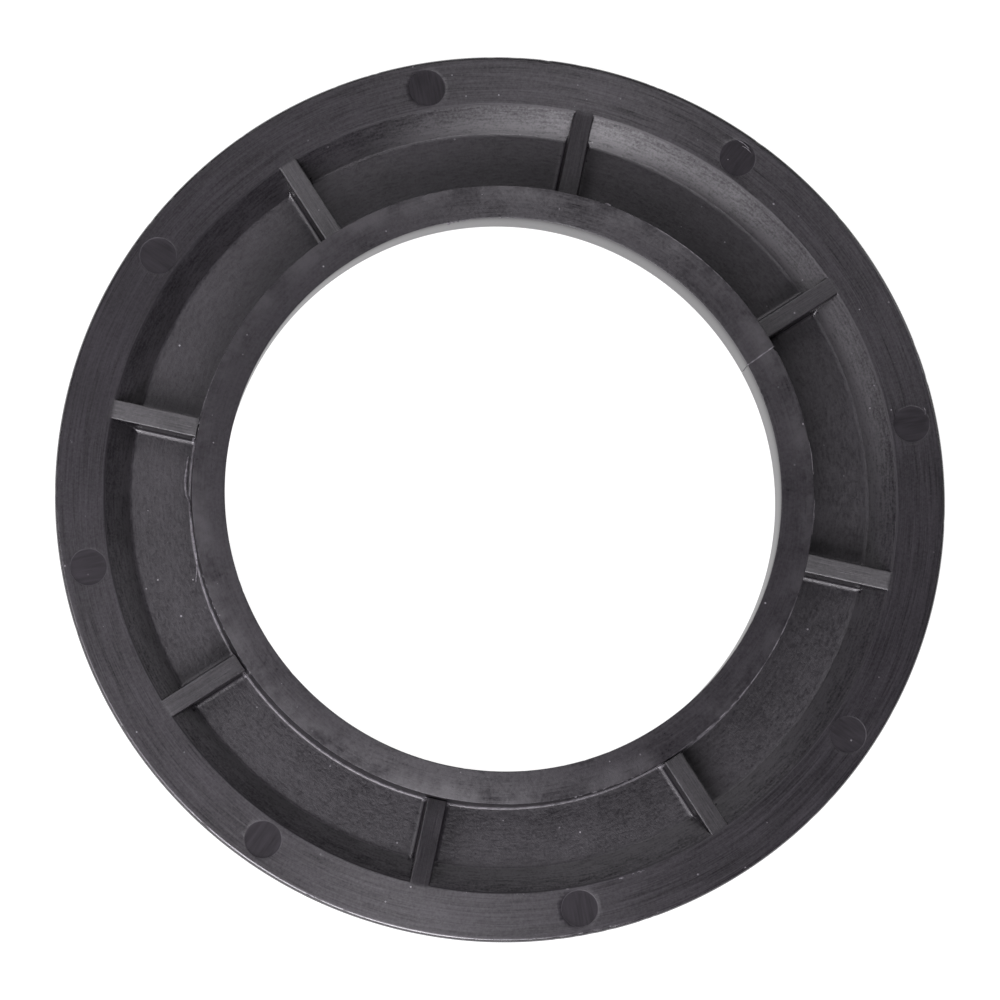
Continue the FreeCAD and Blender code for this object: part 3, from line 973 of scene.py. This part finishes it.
def collar_plastic():
    """Smoother plastic: turned top with smudges, pale split, painted edge highlights, painted
    shade on the outer side and a glossy bore.
    """
    g = RingGraph("collar_finish")
    kinds = collar_kinds(g)
    grit = g.noise(g.place, scale=1 / 1.5, detail=1.0)
    grains = {
        "fine": g.turned_grain(length=12.0, width=0.3, shift=5.0),
        "smudge": g.noise(g.place, scale=1 / 7.0, detail=4.0, rough=0.55),
        "mottle": g.noise(g.place, scale=1 / 0.6, detail=3.0, rough=0.6),
    }

    tone = g.shade(CHARCOAL[:3], g.either(g.layers(COLLAR_TONE, kinds, grains), LEAST_TONE))
    dust = g.both(g.specks(**DUST_ON_COLLAR), g.step(grit, 0.3, 0.7))
    # The split's edges are pale where the plastic was stressed; stretches of the outer edge are
    # painted pale as a painted highlight.
    pale = g.either(g.times(dust, DUST_COVER),
                    g.times(kinds["joint"], g.step(grit, 0.35, 0.6), 0.6),
                    g.times(kinds["rubbed_edge"], g.step(grit, 0.3, 0.6), 0.3))

    smudges = g.either(g.swing(grains["smudge"], 0.4), DEEPEST_SMUDGE)
    shine = g.plus(g.layers(COLLAR_SHINE, kinds, grains), g.times(kinds["outer_half"], smudges))
    return g.finish(g.blend(pale, tone, PALE_WEAR_AND_HIGHLIGHT),
                    roughness=g.layers(COLLAR_ROUGHNESS, kinds, grains),
                    height=g.layers(COLLAR_RELIEF, kinds, grains, relief=True),
                    anisotropic=g.times(kinds["top_face"], COLLAR_GRAIN),
                    tangent=g.vector(g.cosine, g.sine),
                    specular=g.math("MINIMUM", g.either(shine, LEAST_SHINE), MOST_SHINE))


def flash_plastic():
    """Thin flash, paler where it was stretched or torn."""
    g = RingGraph("flash_finish")
    torn = g.step(g.noise(g.place, scale=1 / 0.7, detail=2.0), 0.35, 0.65)
    fine = g.noise(g.place, scale=1 / 0.2, detail=2.0)
    tone = g.shade(CHARCOAL[:3], g.either(g.plus(2.0, g.swing(fine, 0.5)), LEAST_TONE))
    return g.finish(g.blend(g.plus(0.08, g.times(torn, 0.32)), tone, PALE_WEAR_AND_HIGHLIGHT),
                    roughness=g.plus(0.36, g.swing(fine, 0.06)),
                    height=g.times(fine, 0.02),
                    anisotropic=0.0,
                    tangent=g.vector(g.cosine, g.sine))


# ---------------------------------------------------------------- stage
TABLE_GREY = (0.12, 0.12, 0.12, 1)
TABLE_GLOW = 0.96
TABLE_HALF = 2.5  # in metres
TABLE_DROP = 0.05 * MM  # keeps the table just clear of the rear face
LIGHT_TINT = (0.98, 0.945, 1.0)

# The surroundings: (elevation in degrees, brightness) near the horizon and overhead.
HORIZON, OVERHEAD = (8, 0.10), (35, 0.03)

# Studio lights: (name, azimuth in the view, elevation, distance, width, height, power), in
# degrees, metres and watts. The large boxes are far off; the small near ones make the ring's
# left side brighter.
LIGHTS = (
    ("key", 269, 46, 0.9, 0.45, 0.45, 6.4),
    ("key_low", 249, 31, 0.9, 0.60, 0.26, 5.4),
    ("left", 212, 27, 0.9, 0.70, 0.26, 1.6),
    ("top", 105, 45, 0.9, 0.55, 0.35, 2.4),
    ("right", 30, 28, 0.9, 0.35, 0.35, 1.05),
    ("overhead", 60, 65, 0.9, 0.38, 0.38, 0.5),
    ("near_left", 204, 40, 0.3, 0.26, 0.11, 0.45),
    ("near_high", 150, 60, 0.3, 0.11, 0.11, 0.11),
    ("near_key", 255, 45, 0.2, 0.06, 0.06, 0.046),
)


def make_floor():
    """A white table that glows a little, so that no shadow shows on it."""
    g = Graph("white_table")
    place = g.add("TexCoord").outputs["Object"]
    grain = g.noise(place, scale=600.0, detail=2.0)
    glow = g.plus(TABLE_GLOW, g.swing(grain, 0.01))
    surface = g.add("BsdfPrincipled", {
        "Base Color": TABLE_GREY,
        "Roughness": 0.8,
        "Emission Color": (1, 1, 1, 1),
        "Emission Strength": glow,
    })
    output = g.add("OutputMaterial")
    g.tree.links.new(surface.outputs[0], output.inputs[0])

    mesh = bpy.data.meshes.new("table")
    corners = [(x * TABLE_HALF, y * TABLE_HALF, -TABLE_DROP)
               for x, y in ((-1, -1), (1, -1), (1, 1), (-1, 1))]
    mesh.from_pydata(corners, [], [(0, 1, 2, 3)])
    mesh.materials.append(g.material)
    table = bpy.data.objects.new("table", mesh)
    bpy.context.scene.collection.objects.link(table)


def softbox(name, azimuth, elevation, distance, width, height, power):
    """A soft light aimed at the ring, from a view azimuth and an elevation."""
    a, e = math.radians(azimuth), math.radians(elevation)
    away = from_view((math.cos(a) * math.cos(e), math.sin(a) * math.cos(e), math.sin(e)))
    light = bpy.data.lights.new(name, "AREA")
    light.shape = "RECTANGLE"
    light.size, light.size_y = width, height
    light.energy = power
    light.color = LIGHT_TINT
    lamp = bpy.data.objects.new(name, light)
    lamp.location = away * distance
    lamp.rotation_mode = "QUATERNION"
    lamp.rotation_quaternion = away.to_track_quat("Z", "Y")
    bpy.context.scene.collection.objects.link(lamp)


def make_surroundings():
    """Surroundings that are pale near the horizon and dark overhead."""
    world = bpy.data.worlds.new("studio")
    world.use_nodes = True
    bpy.context.scene.world = world
    tree = world.node_tree
    direction = tree.nodes.new("ShaderNodeTexCoord").outputs["Generated"]
    split = tree.nodes.new("ShaderNodeSeparateXYZ")
    tree.links.new(direction, split.inputs[0])
    fade = tree.nodes.new("ShaderNodeMapRange")
    fade.interpolation_type = "SMOOTHSTEP"
    tree.links.new(split.outputs[2], fade.inputs[0])
    low, high = (math.sin(math.radians(elevation)) for elevation, _ in (HORIZON, OVERHEAD))
    for socket, number in zip(list(fade.inputs)[1:5], (low, high, HORIZON[1], OVERHEAD[1])):
        socket.default_value = number
    tree.links.new(fade.outputs[0], tree.nodes["Background"].inputs["Strength"])


# ---------------------------------------------------------------- build
flange_finish = flange_plastic()
collar_finish = collar_plastic()

flange = flange_moulding()
flange.data.materials.append(flange_finish)
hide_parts("flange_ring")
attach(flange, "root")

collar = collar_band()
collar.data.materials.append(collar_finish)
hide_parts("collar_ring")
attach(collar, "root")

flash_finish = flash_plastic()
FLASH = (
    ("joint_fin", joint_fin, "collar_plastic"),
    ("bore_burr", bore_burr, "collar_plastic"),
    ("collar_edge_flash", collar_edge_flash, "collar_plastic"),
    ("base_sliver", base_sliver, "flange_plastic"),
    ("rib_end_flash", rib_end_flash, "flange_plastic"),
    ("land_edge_flash", land_edge_flash, "flange_plastic"),
    ("pin_burrs", pin_burrs, "flange_plastic"),
)
for seed, (name, build, slot) in enumerate(FLASH, start=200):
    make_flash(name, build, seed, flash_finish)

make_floor()
make_surroundings()
for light in LIGHTS:
    softbox(*light)
make_camera()

view = bpy.context.scene.view_settings
view.view_transform = "Standard"
